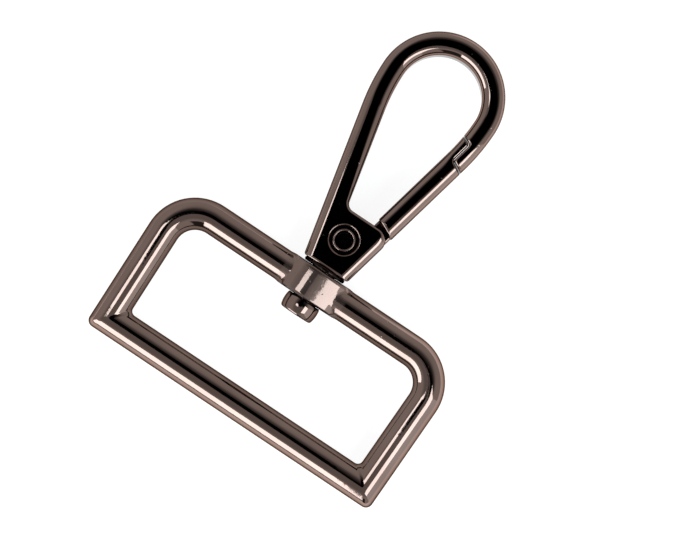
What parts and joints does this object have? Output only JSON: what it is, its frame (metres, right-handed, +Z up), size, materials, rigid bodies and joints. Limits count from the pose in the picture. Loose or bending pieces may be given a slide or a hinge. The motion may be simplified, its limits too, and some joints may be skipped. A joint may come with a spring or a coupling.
{
  "type": "snap hook",
  "caption": "Swivel snap hook with a sprung, riveted gate and a rectangular strap loop, cast in zinc with a dark nickel finish.",
  "frame": {"origin": "centre of the part's outline seen from above, at the height of its lowest surface", "axes": "+X along the bars of the strap loop, +Y along the swivel axis from the loop to the nose, +Z up, away from the surface that it lies on"},
  "size_m": [0.0392, 0.051, 0.0053],
  "materials": {
    "plated_zinc": "polished",
    "rivet_steel": "polished",
    "spring_steel": "satin"
  },
  "bodies": {
    "hook": {"hook_body": "plated_zinc", "gate_rivet": "rivet_steel", "gate_spring": "spring_steel"},
    "gate": {"gate": "plated_zinc"},
    "loop": {"strap_loop": "plated_zinc"}
  },
  "joints": [
    {"name": "gate_hinge", "type": "hinge", "parent": "hook", "child": "gate", "pos_m": [0, -0.00143, 0.00265], "axis": [0, 0, 1], "range_deg": [0, 27], "stiffness_Nm_per_rad": 0.1, "springref_deg": -20.05, "deforming": ["gate_spring"]},
    {"name": "swivel", "type": "hinge", "parent": "hook", "child": "loop", "pos_m": [0, -0.00761, 0.00265], "axis": [0, 1, 0], "continuous": true}
  ]
}
